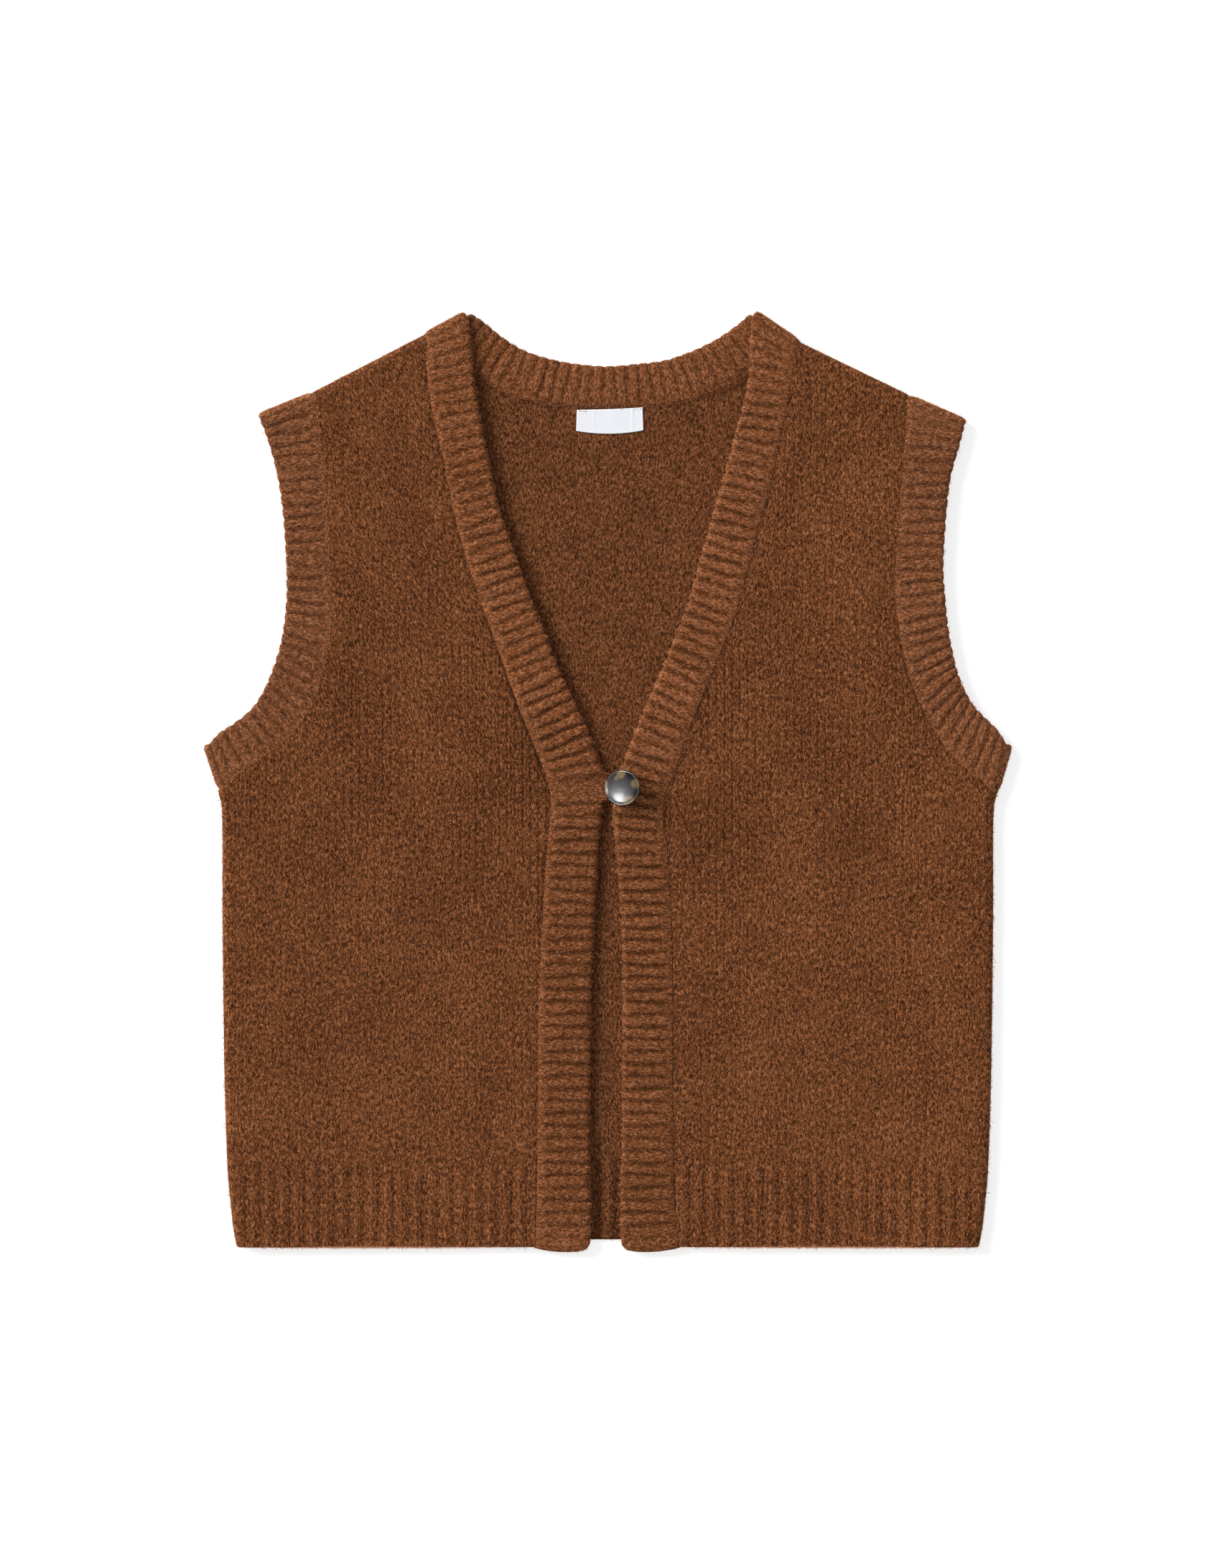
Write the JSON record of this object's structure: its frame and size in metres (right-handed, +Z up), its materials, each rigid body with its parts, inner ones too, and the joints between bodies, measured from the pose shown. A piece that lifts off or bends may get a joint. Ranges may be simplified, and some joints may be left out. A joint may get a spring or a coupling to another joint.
{
  "type": "knitted sweater vest",
  "caption": "Sleeveless V-neck knitted vest with rib bands and a button front, laid flat with its front up.",
  "frame": {"origin": "middle of the vest's outline, on the table under it", "axes": "+Y from the hem to the neck, +X to the viewer's right, +Z up out of the table"},
  "size_m": [0.5614, 0.654, 0.0207],
  "materials": {
    "plain_knit": "brushed brown plain knit with a soft nap",
    "rib_knit": "brushed brown rib knit with a soft nap",
    "horn_button": "polished horn look, dark with olive patches",
    "sewing_thread": "dull brown sewing thread",
    "label_ribbon": "white woven ribbon, bare"
  },
  "bodies": {
    "root": {"back": "plain_knit", "front_left": "plain_knit", "front_right": "plain_knit", "neck_band": "rib_knit", "armhole_band_left": "rib_knit", "armhole_band_right": "rib_knit", "button": "horn_button", "button_thread": "sewing_thread", "neck_label": "label_ribbon"}
  },
  "joints": []
}
